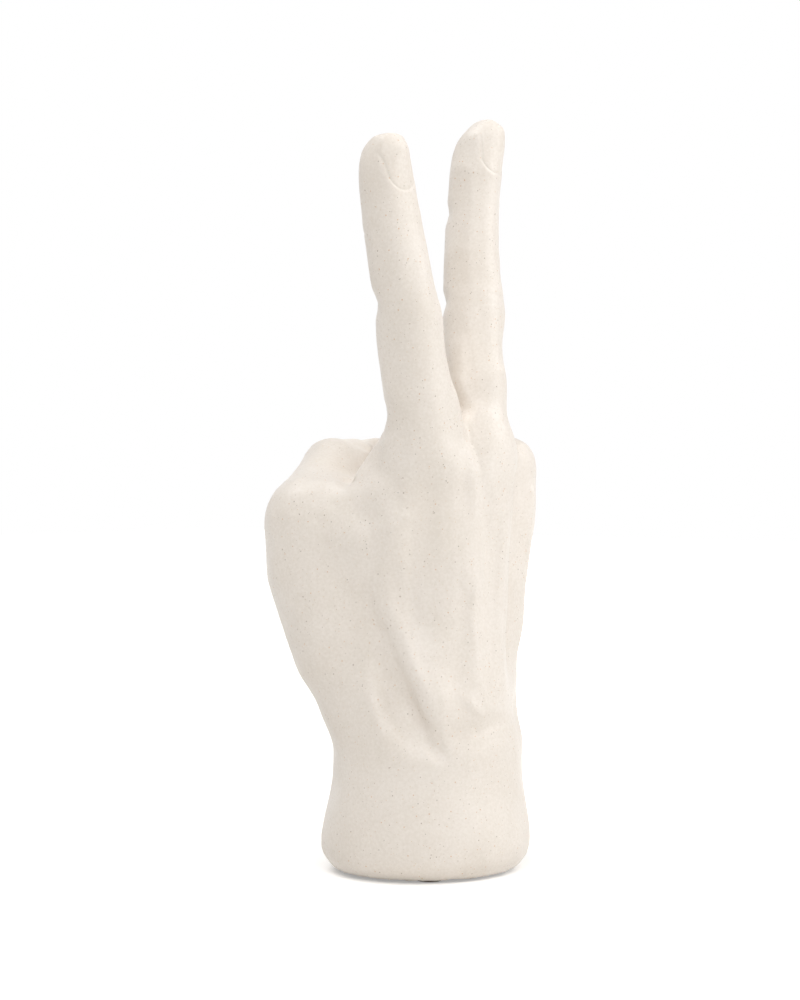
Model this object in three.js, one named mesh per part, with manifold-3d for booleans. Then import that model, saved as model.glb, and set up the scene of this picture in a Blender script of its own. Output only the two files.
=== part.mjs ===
// Hand sculpture: a right hand holding up two fingers, cast hollow in speckled stoneware.
// Millimetres, +Z up. The palm faces -Y, the back of the hand +Y and the thumb side +X.
// The hand is drawn about the middle of its wrist with the ground face of its foot at z = 0.
// The finished group is then lifted onto its pads and centred over the origin.
import * as THREE from 'three';
import { mergeVertices } from 'three/addons/utils/BufferGeometryUtils.js';
import Module from 'manifold-3d';

const wasm = await Module();
wasm.setup();

// Wrist: half widths across the hand (x) and through it (y), with the heights where they hold
const footHalfWidth = 34.6;
const footHalfDepth = 32.4;
const footHeight = 9;
const footRound = 7.5;
const footGrind = 0.2;
const footCentre = [-0.6, -0.5];
const wristHalfWidth = 32.8;
const wristHalfDepth = 28.4;
const wristHeight = 31;
const wristCentre = [-1, 0];
const heelHeight = 34;
const palmHeight = 79;
const domeTip = 0.14;

// Palm: heights of the carpal bones and the knuckles, and the knuckles' half span, middle and half depth
const carpalHeight = 48;
const knuckleHeight = 131;
const knuckleHalfSpan = 28.75;
const knuckleHalfDepth = 22;
const knuckleCentre = [-17.25, 0];

// Hollow of the casting, the ring that it stands on and its vent
const wall = 6;
const floorThickness = 7;
const footRingWidth = 15;
const footRecess = 3;
const ventDiameter = 16;

// Felt pads glued under the foot ring
const padCount = 4;
const padDiameter = 8;
const padThickness = 1;
const glueFilm = 0.3;

// Rubber bung in the vent: flange under the floor, stem through it and lip inside
const bungFlangeDiameter = 22;
const bungFlangeThickness = 2;
const bungLipDiameter = 18.4;
const bungLipHeight = 3.5;
const bungClearance = 0.3;

// Facets: their size on the skin and in the hollow, how they settle on it, and the sides of round pieces
const skinStep = 3.9;
const hollowStep = 7.5;
const cellMargin = 0.06;
const slopeProbe = 0.05;
const slopeFloor = 0.25;
const settlePulls = 2;
const mergeDistance = 1e-4;
const columnSides = 40;

// A place in the palm is three shares: across and through from its middle, and up from carpals to knuckles.
// Fingers: place of the knuckle, sideways spread, turn about the arm, bend of each joint towards the palm,
// then the lengths of the three bones and the radii from the knuckle to the tip
const indexFinger = {
  knuckle: [0.983, 0.388, 0.976],
  spread: 11,
  turn: 0,
  bends: [-2, 6.5, -4.5],
  lengths: [46, 28, 22],
  radii: [9.8, 8.9, 7.7, 7.2],
};
const middleFinger = {
  knuckle: [0.183, 0.618, 1],
  spread: -8,
  turn: 0,
  bends: [10.8, -5.4, -4.5],
  lengths: [48, 32, 24.6],
  radii: [9.4, 8.7, 7.4, 7.2],
};
const ringFinger = {
  knuckle: [-0.502, 0.336, 0.952],
  spread: 0,
  turn: 8,
  bends: [80, 102, 58],
  lengths: [38, 24, 20],
  radii: [10.2, 9.2, 8.4, 7.6],
};
const littleFinger = {
  knuckle: [-1.065, -0.217, 0.843],
  spread: 0,
  turn: 14,
  bends: [78, 104, 60],
  lengths: [32, 20, 17],
  radii: [9, 8.2, 7.5, 6.8],
};

// Flesh of a finger as shares of its bones: waist, then stretch, offset and radius of the pads and the knuckle
const boneWaist = 0.98;
const padStretch = [0.22, 0.82];
const padOffset = 0.2;
const padFullness = [0.94, 0.88, 0.88];
const knuckleStretch = 0.1;
const knuckleOffset = 0.28;
const knuckleFullness = 0.72;

// Strands of flesh: a few stations each, with a place in the palm and then a radius.
// Carpal bones, in the order of the fingers
const carpals = [
  [0.305, 0.387, 0, 11],
  [-0.091, 0.458, 0, 10.5],
  [-0.396, 0.299, 0, 10.5],
  [-0.518, -0.035, 0, 12],
];

// Thumb from its root at the wrist over its two joints to its tip, folded across the palm, and its ball
const thumbPath = [
  [0.602, -0.393, 0.066, 13.5],
  [1.264, -1.228, 0.747, 12.6],
  [0.462, -1.88, 0.947, 9.6],
  [0.1, -1.89, 0.954, 9.1],
  [-0.33, -1.87, 0.947, 9.6],
  [-0.49, -1.85, 0.94, 8.6],
];
const thumbBall = [[0.813, -0.712, 0.265, 14.2], [1.088, -1.103, 0.542, 14]];

// Palm: its core, the flesh beside the ring finger's bone, the heel of the hand and the cushion above it
const palmCore = [[0.08, -0.14, 0.1, 21], [0.145, -0.25, 0.7, 18]];
const ringSide = [[-0.309, 0.266, 0.024, 7.5], [-0.463, 0.298, 0.349, 7.2], [-0.538, 0.344, 0.807, 8.7]];
const palmHeel = [
  [-0.448, -0.331, -0.048, 14],
  [-0.517, -0.419, 0.145, 14.5],
  [-0.594, -0.475, 0.325, 14.5],
  [-0.759, -0.572, 0.614, 14],
];
const palmCushion = [[-0.121, -0.587, 0.446, 9], [-0.23, -0.804, 0.747, 9]];

// Webs: edge and sheet from the thumb to the index finger, inside the thumb, under the grip, between fingers
const webEdge = [[1.088, -0.922, 0.711, 11], [1.015, -0.411, 0.825, 9.5], [0.992, 0, 0.964, 7.8]];
const webSheet = [[0.905, -0.54, 0.386, 14], [0.972, -0.435, 0.663, 13.8], [0.793, 0.17, 0.771, 11]];
const thumbInside = [[1.109, -1.17, 0.765, 10.8], [0.646, -1.639, 0.911, 9]];
const gripFloor = [[0.505, -1.226, 0.741, 11], [0.485, -0.259, 0.819, 11]];
const fingerWeb = [[0.819, 0.405, 0.964, 8], [0.272, 0.542, 0.976, 8]];

// Tendons that stand proud: two of the thumb beside the hollow at the wrist, the index and middle finger's
const thumbLongTendon = [
  [0.914, 0.008, 0.47, 4.6],
  [0.709, 0.257, 0.249, 7],
  [0.616, 0.506, 0.086, 7],
  [0.439, 0.619, -0.078, 5.6],
];
const thumbShortTendon = [[0.79, -0.125, 0.181, 6], [0.759, 0.05, 0.041, 7], [0.657, 0.214, -0.098, 6]];
const indexTendon = [
  [0.566, 0.544, 0.904, 5.3],
  [0.452, 0.59, 0.754, 5.5],
  [0.38, 0.642, 0.565, 5.5],
  [0.214, 0.75, 0.06, 6],
  [0.17, 0.553, -0.084, 5],
];
const middleTendon = [
  [0.133, 0.781, 0.855, 5.5],
  [0.059, 0.734, 0.542, 5.3],
  [-0.045, 0.752, 0.157, 5.6],
  [-0.079, 0.559, -0.036, 5],
];

// Hollows pressed in: between the thumb tendons, beside the index tendon, beside the index bone,
// between the middle and ring bones, across the back of the wrist and down the middle of the palm
const thumbHollow = [[1.235, 0.243, 0.325, 7.4], [1.067, 0.535, 0.083, 9.2], [0.808, 0.852, -0.072, 7]];
const tendonHollow = [[0.839, 1.129, 0.398, 8.4], [0.544, 1.175, 0.181, 7]];
const indexHollow = [[1.466, 0.56, 0.892, 4.4], [1.447, 0.418, 0.699, 3.4]];
const ringHollow = [[-0.39, 0.944, 0.928, 5.2], [-0.303, 1.064, 0.59, 5.3], [-0.351, 1.064, 0.181, 4.8]];
const wristHollow = [
  [0.614, 0.97, -0.072, 5.8],
  [0.234, 1.182, -0.03, 6],
  [-0.287, 1.19, 0, 6],
  [-0.765, 0.849, 0.04, 5.8],
];
const palmHollow = [[0, -1.16, 0.12, 6], [0.2, -1.22, 0.6, 8]];

// How softly neighbouring forms run into each other
const fingerBlend = 5;
const foldBlend = 2;
const raisedBlend = 3;
const webBlend = 6;
const palmBlend = 9;
const tendonBlend = 4;
const strandBlend = 2;

const { clamp, degToRad, lerp, smoothstep } = THREE.MathUtils;

// Point at a place in the palm, which runs from the oval of the wrist to the row of knuckles
function at([across, through, up]) {
  const halfWidth = lerp(wristHalfWidth, knuckleHalfSpan, up);
  const halfDepth = lerp(wristHalfDepth, knuckleHalfDepth, up);
  return [
    lerp(wristCentre[0], knuckleCentre[0], up) + across * halfWidth,
    lerp(wristCentre[1], knuckleCentre[1], up) + through * halfDepth,
    lerp(carpalHeight, knuckleHeight, up),
  ];
}

// Fields: a field gives the distance from a point to a form, negative inside it
const blended = (a, b, soft) => {
  const near = Math.max(soft - Math.abs(a - b), 0) / soft;
  return Math.min(a, b) - (near * near * soft) / 4;
};

const union = (soft, ...forms) => (p) => {
  let d = forms[0](p);
  for (let i = 1; i < forms.length; i++) d = blended(d, forms[i](p), soft);
  return d;
};

const carved = (soft, form, ...cutters) => (p) => {
  let d = form(p);
  for (const cutter of cutters) d = -blended(-d, cutter(p), soft);
  return d;
};

// A bone is a ball that slides from one point to another while its radius changes
function bone(from, fromRadius, to, toRadius) {
  const [ax, ay, az] = from;
  const [bx, by, bz] = [to[0] - ax, to[1] - ay, to[2] - az];
  const lengthSq = bx * bx + by * by + bz * bz;
  return (p) => {
    const x = p.x - ax;
    const y = p.y - ay;
    const z = p.z - az;
    const t = clamp((x * bx + y * by + z * bz) / lengthSq, 0, 1);
    return Math.hypot(x - bx * t, y - by * t, z - bz * t) - lerp(fromRadius, toRadius, t);
  };
}

// A strand of flesh is a row of bones through its stations
function strand(soft, stations) {
  const bones = [];
  for (let i = 0; i + 1 < stations.length; i++) {
    const [from, to] = [stations[i], stations[i + 1]];
    bones.push(bone(at(from), from[3], at(to), to[3]));
  }
  return union(soft, ...bones);
}

const between = (a, b, t) => a.map((v, i) => lerp(v, b[i], t));
const moved = (a, direction, distance) => a.map((v, i) => v + direction[i] * distance);

// Joint centres of a finger, with the palmar direction of each bone
function fingerBones({ knuckle, spread, turn, bends, lengths }) {
  const aim = new THREE.Euler(0, degToRad(spread), degToRad(turn), 'ZYX');
  const joints = [at(knuckle)];
  const palmar = [];
  let bend = 0;
  lengths.forEach((length, i) => {
    bend += degToRad(bends[i]);
    const along = new THREE.Vector3(0, -Math.sin(bend), Math.cos(bend)).applyEuler(aim);
    const down = new THREE.Vector3(0, -Math.cos(bend), -Math.sin(bend)).applyEuler(aim);
    joints.push(moved(joints[i], along.toArray(), length));
    palmar.push(down.toArray());
  });
  return { joints, palmar };
}

// A finger: three bones with a slight waist, a soft pad along each and a knuckle over the middle joint
function finger(f) {
  const { joints, palmar } = fingerBones(f);
  const forms = [];
  for (let i = 0; i < 3; i++) {
    const [from, to] = [joints[i], joints[i + 1]];
    const [r, s] = [f.radii[i], f.radii[i + 1]];
    const m = ((r + s) / 2) * boneWaist;
    const middle = between(from, to, 0.5);
    forms.push(bone(from, r, middle, m), bone(middle, m, to, s));
    const [start, end] = padStretch.map((t) => moved(between(from, to, t), palmar[i], m * padOffset));
    forms.push(bone(start, m * padFullness[i], end, (i < 2 ? m : s) * padFullness[i]));
  }
  const top = moved(joints[1], palmar[1], -f.radii[1] * knuckleOffset);
  const topRadius = f.radii[1] * knuckleFullness;
  forms.push(bone(top, topRadius, between(top, joints[2], knuckleStretch), topRadius));
  return union(fingerBlend, ...forms);
}

// Wrist: an oval column that flares to its foot, rounds under at the edge and domes over inside the palm
function wrist(p) {
  const z = p.z + footGrind;
  const flare = smoothstep(z, footHeight, wristHeight);
  const dome = Math.max(z - heelHeight, 0) / (palmHeight - heelHeight);
  const shrink = Math.max(Math.sqrt(Math.max(1 - dome * dome, 0)), domeTip);
  const a = lerp(footHalfWidth, wristHalfWidth, flare) * shrink;
  const b = lerp(footHalfDepth, wristHalfDepth, flare) * shrink;
  const x = p.x - lerp(footCentre[0], wristCentre[0], flare);
  const y = p.y - lerp(footCentre[1], wristCentre[1], flare);
  const side = (Math.hypot(x / a, y / b) - 1) * b + footRound;
  const under = footRound - z;
  const corner = Math.hypot(Math.max(side, 0), Math.max(under, 0));
  return Math.max(corner + Math.min(Math.max(side, under), 0) - footRound, z - palmHeight);
}

// Flesh: the bones that fan out to the knuckles, the palm under them, the thumb and the webs
const metacarpals = [indexFinger, middleFinger, ringFinger, littleFinger].map((f, i) => {
  return bone(at(carpals[i]), carpals[i][3], at(f.knuckle), f.radii[0]);
});
const core = union(palmBlend, wrist, strand(palmBlend, palmCore));
const palm = union(palmBlend, ...metacarpals, ...[ringSide, palmHeel, palmCushion, thumbBall].map((form) => {
  return strand(palmBlend, form);
}));
const webs = union(webBlend, ...[webEdge, webSheet, thumbInside, gripFloor, fingerWeb].map((form) => {
  return strand(webBlend, form);
}));
const thumb = strand(fingerBlend, thumbPath);
const flesh = union(palmBlend, core, palm, webs, thumb);

// Back of the hand: tendons raised on the flesh and hollows pressed into it
const tendons = [thumbLongTendon, thumbShortTendon, indexTendon, middleTendon].map((form) => {
  return strand(strandBlend, form);
});
const hollows = [thumbHollow, tendonHollow, indexHollow, ringHollow, wristHollow, palmHollow].map((form) => {
  return strand(strandBlend, form);
});
const back = carved(tendonBlend, union(tendonBlend, flesh, ...tendons), ...hollows);

// Hand: two raised fingers on the palm, and two that are folded under the thumb
const raised = union(raisedBlend, finger(indexFinger), finger(middleFinger));
const folded = union(foldBlend, finger(ringFinger), finger(littleFinger));
const hand = union(foldBlend, union(webBlend, back, raised), folded);

// Skin of a field: one vertex in each cell that the surface crosses, one quad across each crossed grid edge
function skin(field, box, step) {
  const low = box.min.toArray();
  const [nx, ny, nz] = box.getSize(new THREE.Vector3()).toArray().map((v) => Math.ceil(v / step) + 1);
  const cell = (i, j, k) => (k * ny + j) * nx + i;
  const corners = [0, 1, 2, 3, 4, 5, 6, 7].map((c) => [c & 1, (c >> 1) & 1, c >> 2]);
  const edges = corners.flatMap((_, a) => [1, 2, 4].filter((bit) => !(a & bit)).map((bit) => [a, a | bit]));
  const values = new Float32Array(nx * ny * nz);
  const p = new THREE.Vector3();
  for (let k = 0; k < nz; k++)
    for (let j = 0; j < ny; j++)
      for (let i = 0; i < nx; i++)
        values[cell(i, j, k)] = field(p.set(low[0] + i * step, low[1] + j * step, low[2] + k * step));
  const stride = [1, nx, nx * ny];
  joinDiagonals(values, stride);
  closePockets(values, stride);

  const vertexOf = new Int32Array(nx * ny * nz).fill(-1);
  const positions = [];
  for (let k = 0; k + 1 < nz; k++)
    for (let j = 0; j + 1 < ny; j++)
      for (let i = 0; i + 1 < nx; i++) {
        const v = corners.map(([a, b, c]) => values[cell(i + a, j + b, k + c)]);
        const crossed = edges.filter(([a, b]) => v[a] < 0 !== v[b] < 0);
        if (!crossed.length) continue;
        const sum = [0, 0, 0];
        for (const [a, b] of crossed) {
          const t = v[a] / (v[a] - v[b]);
          between(corners[a], corners[b], t).forEach((c, axis) => (sum[axis] += c / crossed.length));
        }
        const home = new THREE.Box3(new THREE.Vector3(i, j, k), new THREE.Vector3(i + 1, j + 1, k + 1));
        home.expandByScalar(-cellMargin);
        home.set(home.min.multiplyScalar(step).add(box.min), home.max.multiplyScalar(step).add(box.min));
        p.set(i, j, k).add(new THREE.Vector3(...sum)).multiplyScalar(step).add(box.min);
        vertexOf[cell(i, j, k)] = positions.length / 3;
        positions.push(...settled(field, p, step * slopeProbe, home));
      }

  const index = [];
  for (let k = 1; k + 1 < nz; k++)
    for (let j = 1; j + 1 < ny; j++)
      for (let i = 1; i + 1 < nx; i++)
        stride.forEach((ahead, axis) => {
          const here = cell(i, j, k);
          const inside = values[here] < 0;
          if (inside === values[here + ahead] < 0) return;
          const u = stride[(axis + 1) % 3];
          const w = stride[(axis + 2) % 3];
          const ring = [here, here - u, here - u - w, here - w].map((c) => vertexOf[c]);
          if (!inside) ring.reverse();
          index.push(ring[0], ring[1], ring[2], ring[0], ring[2], ring[3]);
        });
  return new THREE.BufferGeometry()
    .setAttribute('position', new THREE.Float32BufferAttribute(positions, 3))
    .setIndex(index);
}

// Grid points that meet only across a diagonal are bridged, so the skin never touches itself along an edge
function joinDiagonals(values, stride) {
  const planes = [[0, 1], [1, 2], [2, 0]].map(([u, w]) => [0, stride[u], stride[u] + stride[w], stride[w]]);
  let bridged = true;
  while (bridged) {
    bridged = false;
    for (let here = 0; here < values.length; here++)
      for (const plane of planes) {
        const square = plane.map((offset) => here + offset);
        const [a, b, c, d] = square.map((i) => values[i] < 0);
        if (a !== c || b !== d || a === b) continue;
        const outside = square.filter((i) => values[i] >= 0);
        const nearest = values[outside[0]] < values[outside[1]] ? outside[0] : outside[1];
        values[nearest] = -Math.max(values[nearest], Number.EPSILON);
        bridged = true;
      }
  }
}

// Points outside the form that can't be reached from the corner of the grid become part of it
function closePockets(values, stride) {
  const reached = new Uint8Array(values.length);
  const queue = [0];
  while (queue.length) {
    const here = queue.pop();
    for (const next of stride.flatMap((step) => [here - step, here + step])) {
      if (!(values[next] > 0) || reached[next]) continue;
      reached[next] = 1;
      queue.push(next);
    }
  }
  values.forEach((v, i) => {
    if (!reached[i]) values[i] = -Math.abs(v);
  });
}

// A point drawn down the slope of a field onto its surface, within its own cell
function settled(field, p, h, home) {
  const slope = new THREE.Vector3();
  for (let pull = 0; pull < settlePulls; pull++) {
    const d = field(p);
    slope.set(
      field(p.clone().setX(p.x + h)) - d,
      field(p.clone().setY(p.y + h)) - d,
      field(p.clone().setZ(p.z + h)) - d,
    ).divideScalar(h);
    p.addScaledVector(slope, -d / Math.max(slope.lengthSq(), slopeFloor)).clamp(home.min, home.max);
  }
  return p.toArray();
}

// Solids for cutting, and geometry from a cut solid
function solid(geometry) {
  const bare = geometry.clone().deleteAttribute('normal').deleteAttribute('uv');
  const merged = mergeVertices(bare, mergeDistance);
  return new wasm.Manifold(new wasm.Mesh({
    numProp: 3,
    vertProperties: new Float32Array(merged.getAttribute('position').array),
    triVerts: new Uint32Array(merged.index.array),
  }));
}

function geometryOf(cut) {
  const { numProp, vertProperties, triVerts } = cut.getMesh();
  const vertices = new THREE.InterleavedBuffer(vertProperties, numProp);
  return new THREE.BufferGeometry()
    .setAttribute('position', new THREE.InterleavedBufferAttribute(vertices, 3, 0))
    .setIndex(Array.from(triVerts));
}

// A round or oval column between two heights, standing on the axis of the foot
function column(halfWidth, halfDepth, low, high) {
  return new THREE.CylinderGeometry(1, 1, high - low, columnSides)
    .rotateX(Math.PI / 2)
    .scale(halfWidth, halfDepth, 1)
    .translate(...footCentre, (low + high) / 2);
}

// Room for the skin: every joint and the foot, with the thickest flesh round them
const joints = [indexFinger, middleFinger, ringFinger, littleFinger].flatMap((f) => fingerBones(f).joints);
const room = new THREE.Box3()
  .setFromPoints([...joints, ...thumbPath.map(at)].map((point) => new THREE.Vector3(...point)))
  .union(new THREE.Box3().setFromBufferAttribute(
    column(footHalfWidth, footHalfDepth, 0, footHeight).getAttribute('position'),
  ))
  .expandByScalar(Math.max(...thumbPath.map((station) => station[3])) + 2 * skinStep);

// Casting: the skin of the hand, hollow in wrist and palm, ground flat, with a recess and a vent under it
const hollow = (p) => Math.max(core(p) + wall, floorThickness - p.z);
const belowGround = new THREE.BoxGeometry(4 * footHalfWidth, 4 * footHalfDepth, footHeight)
  .translate(...footCentre, -footHeight / 2);
const recess = column(footHalfWidth - footRingWidth, footHalfDepth - footRingWidth, -footHeight, footRecess);
const ventRadius = ventDiameter / 2;
const vent = column(ventRadius, ventRadius, 0, floorThickness + wall);
const casting = [skin(hollow, room, hollowStep), belowGround, recess, vent]
  .reduce((piece, cutter) => piece.subtract(solid(cutter)), solid(skin(hand, room, skinStep)));

// Bung: revolved about the axis of the vent
function bungGeometry() {
  const flangeTop = footRecess - bungClearance;
  const flangeBottom = flangeTop - bungFlangeThickness;
  const lipBottom = floorThickness + bungClearance;
  const stemRadius = ventRadius - bungClearance;
  const profile = [
    [0, flangeBottom],
    [bungFlangeDiameter / 2, flangeBottom],
    [bungFlangeDiameter / 2, flangeTop],
    [stemRadius, flangeTop],
    [stemRadius, lipBottom],
    [bungLipDiameter / 2, lipBottom],
    [stemRadius, lipBottom + bungLipHeight],
    [0, lipBottom + bungLipHeight],
  ].map(([r, z]) => new THREE.Vector2(r, z));
  return new THREE.LatheGeometry(profile, columnSides).rotateX(Math.PI / 2).translate(...footCentre, 0);
}

const stoneware = new THREE.MeshStandardMaterial({ color: 0xe9e1d6, roughness: 0.5, metalness: 0 });
const felt = new THREE.MeshStandardMaterial({ color: 0x8d867b, roughness: 0.95, metalness: 0 });
const rubber = new THREE.MeshStandardMaterial({ color: 0xd8d4cb, roughness: 0.6, metalness: 0 });

const standing = new THREE.Group();
function place(name, geometry, material) {
  const mesh = new THREE.Mesh(geometry, material);
  mesh.name = name;
  standing.add(mesh);
  return mesh;
}

place('hand_casting', geometryOf(casting), stoneware);
place('vent_bung', bungGeometry(), rubber);
const padInset = (footRound + footRingWidth) / 2;
const padRadius = padDiameter / 2;
for (let i = 0; i < padCount; i++) {
  const angle = ((i + 0.5) / padCount) * 2 * Math.PI;
  const pad = column(padRadius, padRadius, -glueFilm - padThickness, -glueFilm);
  place(`felt_pad_${i + 1}`, pad, felt).position.set(
    (footHalfWidth - padInset) * Math.cos(angle),
    (footHalfDepth - padInset) * Math.sin(angle),
    0,
  );
}

// Stand the pads on z = 0, with the middle of the whole box over the origin
const extent = new THREE.Box3().setFromObject(standing);
const middle = extent.getCenter(new THREE.Vector3());
standing.position.set(-middle.x, -middle.y, -extent.min.z);
const sculpture = new THREE.Group();
sculpture.add(standing);
export default sculpture;
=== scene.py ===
import math

import bmesh
import bpy
import numpy as np
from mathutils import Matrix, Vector
from mathutils.bvhtree import BVHTree


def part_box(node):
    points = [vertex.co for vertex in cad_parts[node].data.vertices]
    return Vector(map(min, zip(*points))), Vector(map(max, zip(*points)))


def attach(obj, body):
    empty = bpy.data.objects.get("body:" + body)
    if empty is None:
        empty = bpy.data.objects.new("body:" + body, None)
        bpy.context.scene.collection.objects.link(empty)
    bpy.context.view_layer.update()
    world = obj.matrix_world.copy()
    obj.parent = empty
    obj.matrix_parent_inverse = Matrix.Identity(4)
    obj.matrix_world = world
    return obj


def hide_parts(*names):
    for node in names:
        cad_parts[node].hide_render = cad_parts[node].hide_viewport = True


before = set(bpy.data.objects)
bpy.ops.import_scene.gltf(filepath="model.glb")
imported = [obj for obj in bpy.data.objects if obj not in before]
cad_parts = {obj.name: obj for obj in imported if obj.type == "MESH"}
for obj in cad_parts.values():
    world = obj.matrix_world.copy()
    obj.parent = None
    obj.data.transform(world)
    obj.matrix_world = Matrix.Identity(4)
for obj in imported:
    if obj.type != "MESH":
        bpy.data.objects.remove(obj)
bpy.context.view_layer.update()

scene = bpy.context.scene
mm = 0.001

# The hand is measured in millimetres from the axis of the wrist, on the ground face of the foot
bungLow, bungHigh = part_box("vent_bung")
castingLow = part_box("hand_casting")[0]
bungFromAxis = Vector((-0.6, -0.5, 0.0)) * mm
bungMiddle = ((bungLow.x + bungHigh.x) / 2, (bungLow.y + bungHigh.y) / 2)
axisFoot = Vector((*bungMiddle, castingLow.z)) - bungFromAxis
mixFrom, mixTo, mixed = 6, 7, 2    # colour sockets of a Mix node


def linear(colour):
    channels = [int(colour[i:i + 2], 16) / 255 for i in (1, 3, 5)]
    return [c / 12.92 if c <= 0.04045 else ((c + 0.055) / 1.055) ** 2.4 for c in channels] + [1.0]


def addNode(tree, kind, inputs=None, **settings):
    node = tree.nodes.new(kind)
    for name, value in settings.items():
        setattr(node, name, value)
    for socket, value in (inputs or {}).items():
        if isinstance(value, bpy.types.NodeSocket):
            tree.links.new(value, node.inputs[socket])
        else:
            node.inputs[socket].default_value = value
    return node


def newMaterial(name):
    material = bpy.data.materials.new(name)
    material.use_nodes = True
    tree = material.node_tree
    return material, tree, tree.nodes["Principled BSDF"]


def newPiece(name, bm, material):
    mesh = bpy.data.meshes.new(name)
    bm.to_mesh(mesh)
    bm.free()
    piece = bpy.data.objects.new(name, mesh)
    scene.collection.objects.link(piece)
    mesh.materials.append(material)
    return piece


# Stoneware, slip cast and fired under a satin glaze: warm white with iron grit showing as fine
# brown, tan and grey specks, a broad soft sheen and no hard reflection
stoneware = {
    "clay": "#ebe3da",
    "cloud": "#e2d9ce",             # where the glaze lies a little thicker
    "cloudSize": 17,                # mm
    "cloudDetail": 3.0,
    "grainSize": 0.9,               # mm, the fine mottle of the clay under the glaze
    "grainDetail": 2.0,
    "grainShare": 0.55,             # of the grain in the mottle, the rest being cloud
    "mottleRange": (0.36, 0.64),    # of the mottle, from plain clay to full cloud
    "roughness": (0.35, 0.46),
    "roughRange": (0.3, 0.7),       # of the cloud, from the smoothest to the roughest glaze
    "bump": 0.25,
    "bumpHeight": 0.05,             # mm
    "ior": 1.5,
    "speckEdge": 0.05,              # of a cell, over which a speck fades
    "specks": [                     # spacing and largest radius in mm
        {"spacing": 2.7, "radius": 0.27, "strength": 0.52,
         "colours": ("#715a47", "#b98a52", "#a07a52", "#81786e")},
        {"spacing": 1.35, "radius": 0.26, "strength": 0.62,
         "colours": ("#8f765f", "#c8945a", "#d09c5c", "#9b8f81")},
        {"spacing": 0.9, "radius": 0.16, "strength": 0.8,
         "colours": ("#b8a38b", "#d0b58d", "#d5c09d", "#bcb2a5")},
    ],
}


def stonewareFinish():
    material, tree, surface = newMaterial("satinStoneware")
    where = addNode(tree, "ShaderNodeTexCoord").outputs["Object"]
    cloud = addNode(tree, "ShaderNodeTexNoise", {"Vector": where, "Scale": 1 / (stoneware["cloudSize"] * mm),
                                                 "Detail": stoneware["cloudDetail"]})
    grain = addNode(tree, "ShaderNodeTexNoise", {"Vector": where, "Scale": 1 / (stoneware["grainSize"] * mm),
                                                 "Detail": stoneware["grainDetail"]})
    mottle = addNode(tree, "ShaderNodeMix", {"Factor": stoneware["grainShare"], "A": cloud.outputs["Fac"],
                                             "B": grain.outputs["Fac"]})
    plain, full = stoneware["mottleRange"]
    spread = addNode(tree, "ShaderNodeMapRange", {"Value": mottle.outputs["Result"], "From Min": plain,
                                                  "From Max": full})
    body = addNode(tree, "ShaderNodeMix", {"Factor": spread.outputs["Result"],
                                           mixFrom: linear(stoneware["clay"]),
                                           mixTo: linear(stoneware["cloud"])}, data_type="RGBA")
    colour = body.outputs[mixed]
    for speck in stoneware["specks"]:
        cells = addNode(tree, "ShaderNodeTexVoronoi", {"Vector": where, "Scale": 1 / (speck["spacing"] * mm)})
        chance = addNode(tree, "ShaderNodeSeparateColor", {"Color": cells.outputs["Color"]})
        size = addNode(tree, "ShaderNodeMath", {0: chance.outputs["Green"],
                                                1: speck["radius"] / speck["spacing"]}, operation="MULTIPLY")
        inside = addNode(tree, "ShaderNodeMath", {0: size.outputs[0], 1: cells.outputs["Distance"]},
                         operation="SUBTRACT")
        mask = addNode(tree, "ShaderNodeMapRange", {"Value": inside.outputs[0],
                                                    "From Max": stoneware["speckEdge"],
                                                    "To Max": speck["strength"]})
        tint = addNode(tree, "ShaderNodeValToRGB", {"Fac": chance.outputs["Red"]})
        tint.color_ramp.interpolation = "CONSTANT"
        for number, tone in enumerate(speck["colours"]):
            spot = number / len(speck["colours"])
            stop = tint.color_ramp.elements[0] if number == 0 else tint.color_ramp.elements.new(spot)
            stop.position = spot
            stop.color = linear(tone)
        tint.color_ramp.elements.remove(tint.color_ramp.elements[-1])
        laid = addNode(tree, "ShaderNodeMix", {"Factor": mask.outputs["Result"], mixFrom: colour,
                                               mixTo: tint.outputs["Color"]}, data_type="RGBA")
        colour = laid.outputs[mixed]
    tree.links.new(colour, surface.inputs["Base Color"])
    smooth, rough = stoneware["roughRange"]
    low, high = stoneware["roughness"]
    sheen = addNode(tree, "ShaderNodeMapRange", {"Value": cloud.outputs["Fac"], "From Min": smooth,
                                                 "From Max": rough, "To Min": low, "To Max": high})
    tree.links.new(sheen.outputs["Result"], surface.inputs["Roughness"])
    skinBump = addNode(tree, "ShaderNodeBump", {"Height": grain.outputs["Fac"], "Strength": stoneware["bump"],
                                                "Distance": stoneware["bumpHeight"] * mm})
    tree.links.new(skinBump.outputs["Normal"], surface.inputs["Normal"])
    surface.inputs["IOR"].default_value = stoneware["ior"]
    return material


# The hand: the casting's own form, rounded and then worked as a modeller works clay
handSkin = {
    "weld": 0.001,       # mm
    "joinAngle": 60,     # degrees between two triangles that become one face
    "joinShape": 70,     # degrees that its corners may be off square
    "sharpAngle": 40,    # degrees, past which an edge of the foot stays crisp
    "footZone": 14,      # mm above the ground face where edges may stay crisp
    "levels": 2,
    "fitTurns": 4,       # times that the cage is moved out until the rounded skin meets the casting
}


def readPoints(mesh, field="co"):
    flat = np.empty(len(mesh.vertices) * 3)
    mesh.vertices.foreach_get(field, flat)
    return flat.reshape(-1, 3)


def writePoints(mesh, points):
    mesh.vertices.foreach_set("co", points.ravel())
    mesh.update()


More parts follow.
